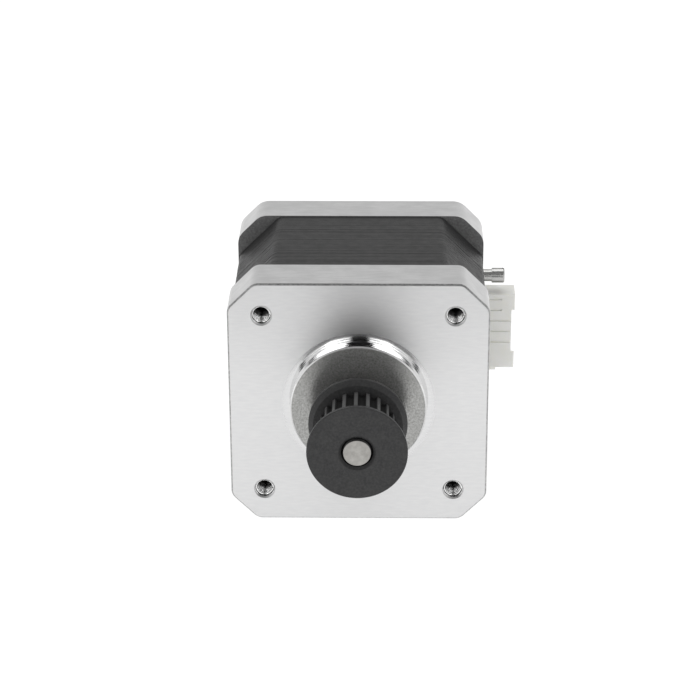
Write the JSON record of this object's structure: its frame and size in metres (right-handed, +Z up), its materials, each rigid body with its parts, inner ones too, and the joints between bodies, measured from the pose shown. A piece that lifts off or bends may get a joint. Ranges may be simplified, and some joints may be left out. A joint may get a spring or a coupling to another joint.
{
  "type": "stepper motor with timing belt pulley",
  "caption": "Small square stepper motor with black end-to-end lamination stack, bright end caps, side connector and a flanged toothed belt pulley on its shaft.",
  "frame": {"origin": "centre of the front mounting face, on the shaft axis (the plate's face, not the raised pilot)", "axes": "-Y out of the shaft end, +Y into the motor body, +X towards the connector side, +Z up"},
  "size_m": [0.0477, 0.0558, 0.042],
  "materials": {
    "cap_aluminium": "die cast, faced and brushed",
    "lamination_black": "black-painted sheet edges",
    "insulator_nylon": "moulded",
    "winding_copper": "enamelled copper wire",
    "screw_steel": "zinc plated",
    "bearing_steel": "ground",
    "cage_metal": "pressed",
    "board_laminate": "glass-epoxy board",
    "connector_nylon": "off-white moulded nylon",
    "pin_metal": "tin plated",
    "shaft_steel": "ground and turned",
    "core_steel": "ground sheet steel",
    "magnet": "sintered",
    "pulley_black": "black oxide"
  },
  "bodies": {
    "motor": {"front_end_cap": "cap_aluminium", "stator_laminations": "lamination_black", "rear_end_cap": "cap_aluminium", "front_insulator": "insulator_nylon", "rear_insulator": "insulator_nylon", "phase_a_coils": "winding_copper", "phase_b_coils": "winding_copper", "winding_leads": "winding_copper", "through_bolts": "screw_steel", "front_bearing_outer_ring": "bearing_steel", "front_bearing_shields": "bearing_steel", "rear_bearing_outer_ring": "bearing_steel", "rear_bearing_shields": "bearing_steel", "preload_washer": "screw_steel", "connector_board": "board_laminate", "connector_housing": "connector_nylon", "connector_pins": "pin_metal", "side_screw": "screw_steel"},
    "rotor": {"shaft": "shaft_steel", "front_rotor_core": "core_steel", "rotor_magnet": "magnet", "rear_rotor_core": "core_steel", "front_spacer": "shaft_steel", "rear_spacer": "shaft_steel", "front_bearing_inner_ring": "bearing_steel", "rear_bearing_inner_ring": "bearing_steel", "pulley_body": "pulley_black", "pulley_front_flange": "pulley_black", "pulley_rear_flange": "pulley_black"},
    "front_ball_set": {"front_bearing_balls": "bearing_steel", "front_bearing_cage": "cage_metal"},
    "rear_ball_set": {"rear_bearing_balls": "bearing_steel", "rear_bearing_cage": "cage_metal"}
  },
  "joints": [
    {"name": "rotor_spin", "type": "hinge", "parent": "motor", "child": "rotor", "pos_m": [0, 0, 0], "axis": [0, -1, 0], "continuous": true},
    {"name": "front_cage_spin", "type": "hinge", "parent": "motor", "child": "front_ball_set", "pos_m": [0, 0.0037, 0], "axis": [0, -1, 0], "continuous": true},
    {"name": "rear_cage_spin", "type": "hinge", "parent": "motor", "child": "rear_ball_set", "pos_m": [0, 0.0341, 0], "axis": [0, -1, 0], "continuous": true}
  ],
  "couplings": [
    {"joint": "front_cage_spin", "follows": "rotor_spin", "ratio": 0.3726},
    {"joint": "rear_cage_spin", "follows": "rotor_spin", "ratio": 0.3726}
  ]
}
